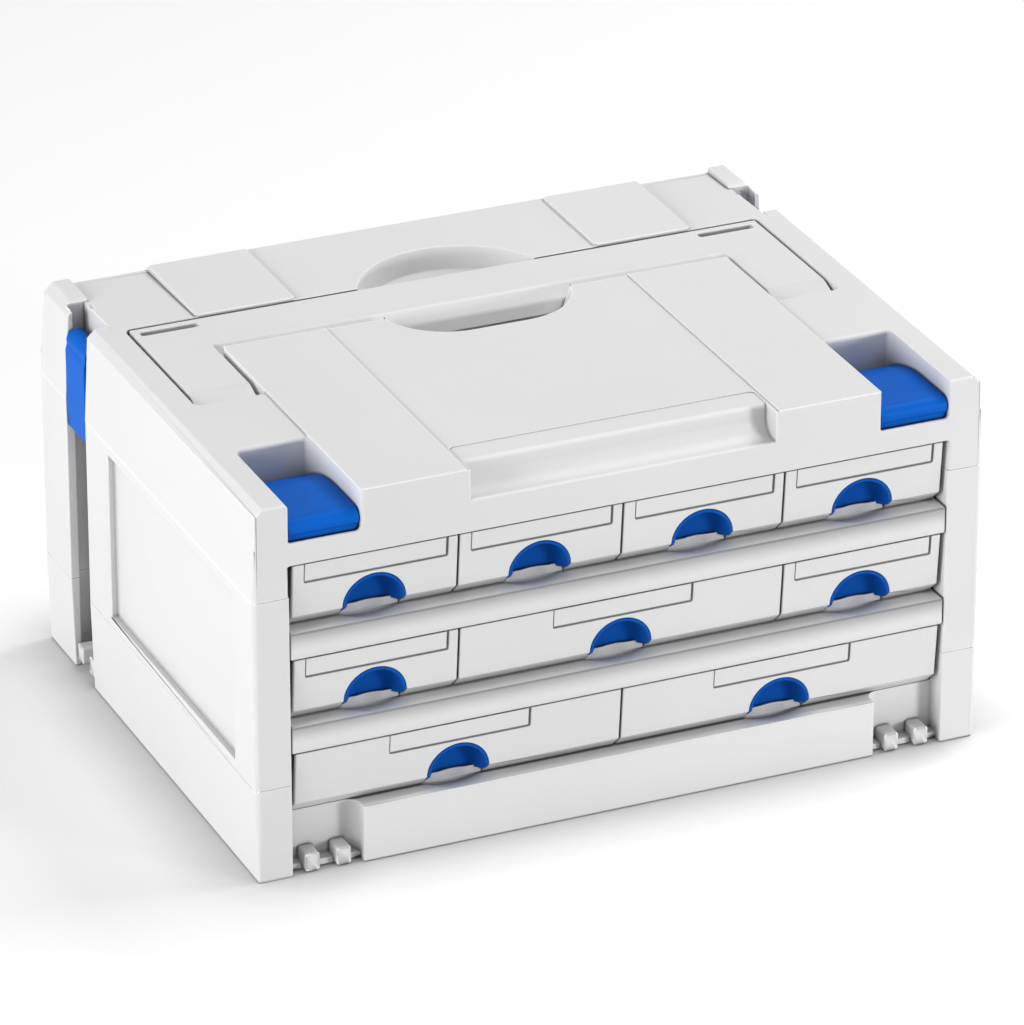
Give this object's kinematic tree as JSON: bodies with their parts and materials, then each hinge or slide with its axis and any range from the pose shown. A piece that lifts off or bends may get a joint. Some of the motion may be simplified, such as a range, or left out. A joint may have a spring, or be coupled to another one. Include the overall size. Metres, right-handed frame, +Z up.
{
  "type": "stackable drawer case",
  "caption": "Stackable light grey plastic case with rows of small pull-out drawers, blue finger pulls, blue stacking clips and a folding carry handle on top.",
  "frame": {"origin": "middle of the footprint, on the surface the case stands on", "axes": "+X towards the right-hand side seen from the drawers, +Y towards the back, +Z up"},
  "size_m": [0.396, 0.296, 0.2055],
  "materials": {
    "shell": "fine satin grain",
    "deck": "fine satin grain",
    "drawer": "satin",
    "label": "satin",
    "handle": "satin",
    "pull": "satin",
    "clip": "satin",
    "steel": "plain"
  },
  "bodies": {
    "case": {"base_tray": "shell", "middle_frame": "shell", "top_cover": "shell", "shelf_top_row": "deck", "shelf_middle_row": "deck", "shelf_bottom_row": "deck", "divider_1": "deck", "divider_2": "deck", "divider_3": "deck", "divider_4": "deck", "divider_5": "deck", "divider_6": "deck", "case_screws": "steel", "handle_pins": "steel", "clip_pins": "steel"},
    "handle": {"carry_handle": "handle"},
    "clip_front_left_body": {"clip_front_left": "clip"},
    "clip_front_right_body": {"clip_front_right": "clip"},
    "clip_side_left_body": {"clip_side_left": "clip"},
    "clip_side_right_body": {"clip_side_right": "clip"},
    "drawer_1": {"drawer_tray_1": "drawer", "pull_cup_1": "pull", "label_strip_1": "label"},
    "drawer_2": {"drawer_tray_2": "drawer", "pull_cup_2": "pull", "label_strip_2": "label"},
    "drawer_3": {"drawer_tray_3": "drawer", "pull_cup_3": "pull", "label_strip_3": "label"},
    "drawer_4": {"drawer_tray_4": "drawer", "pull_cup_4": "pull", "label_strip_4": "label"},
    "drawer_5": {"drawer_tray_5": "drawer", "pull_cup_5": "pull", "label_strip_5": "label"},
    "drawer_6": {"drawer_tray_6": "drawer", "pull_cup_6": "pull", "label_strip_6": "label"},
    "drawer_7": {"drawer_tray_7": "drawer", "pull_cup_7": "pull", "label_strip_7": "label"},
    "drawer_8": {"drawer_tray_8": "drawer", "pull_cup_8": "pull", "label_strip_8": "label"},
    "drawer_9": {"drawer_tray_9": "drawer", "pull_cup_9": "pull", "label_strip_9": "label"}
  },
  "joints": [
    {"name": "drawer_1_slide", "type": "slide", "parent": "case", "child": "drawer_1", "axis": [0, -1, 0], "range_m": [0, 0.2]},
    {"name": "drawer_2_slide", "type": "slide", "parent": "case", "child": "drawer_2", "axis": [0, -1, 0], "range_m": [0, 0.2]},
    {"name": "drawer_3_slide", "type": "slide", "parent": "case", "child": "drawer_3", "axis": [0, -1, 0], "range_m": [0, 0.2]},
    {"name": "drawer_4_slide", "type": "slide", "parent": "case", "child": "drawer_4", "axis": [0, -1, 0], "range_m": [0, 0.2]},
    {"name": "drawer_5_slide", "type": "slide", "parent": "case", "child": "drawer_5", "axis": [0, -1, 0], "range_m": [0, 0.2]},
    {"name": "drawer_6_slide", "type": "slide", "parent": "case", "child": "drawer_6", "axis": [0, -1, 0], "range_m": [0, 0.2]},
    {"name": "drawer_7_slide", "type": "slide", "parent": "case", "child": "drawer_7", "axis": [0, -1, 0], "range_m": [0, 0.2]},
    {"name": "drawer_8_slide", "type": "slide", "parent": "case", "child": "drawer_8", "axis": [0, -1, 0], "range_m": [0, 0.2]},
    {"name": "drawer_9_slide", "type": "slide", "parent": "case", "child": "drawer_9", "axis": [0, -1, 0], "range_m": [0, 0.2]},
    {"name": "handle_hinge", "type": "hinge", "parent": "case", "child": "handle", "pos_m": [0, -0.0145, 0.1967], "axis": [1, 0, 0], "range_deg": [0, 95]},
    {"name": "clip_front_left_hinge", "type": "hinge", "parent": "case", "child": "clip_front_left_body", "pos_m": [-0.1595, -0.1417, 0.1893], "axis": [1, 0, 0], "range_deg": [0, 95]},
    {"name": "clip_side_left_hinge", "type": "hinge", "parent": "case", "child": "clip_side_left_body", "pos_m": [-0.1914, 0.096, 0.1877], "axis": [0, 1, 0], "range_deg": [0, 165]},
    {"name": "clip_front_right_hinge", "type": "hinge", "parent": "case", "child": "clip_front_right_body", "pos_m": [0.1595, -0.1417, 0.1893], "axis": [1, 0, 0], "range_deg": [0, 95]},
    {"name": "clip_side_right_hinge", "type": "hinge", "parent": "case", "child": "clip_side_right_body", "pos_m": [0.1914, 0.096, 0.1877], "axis": [0, -1, 0], "range_deg": [0, 165]}
  ]
}
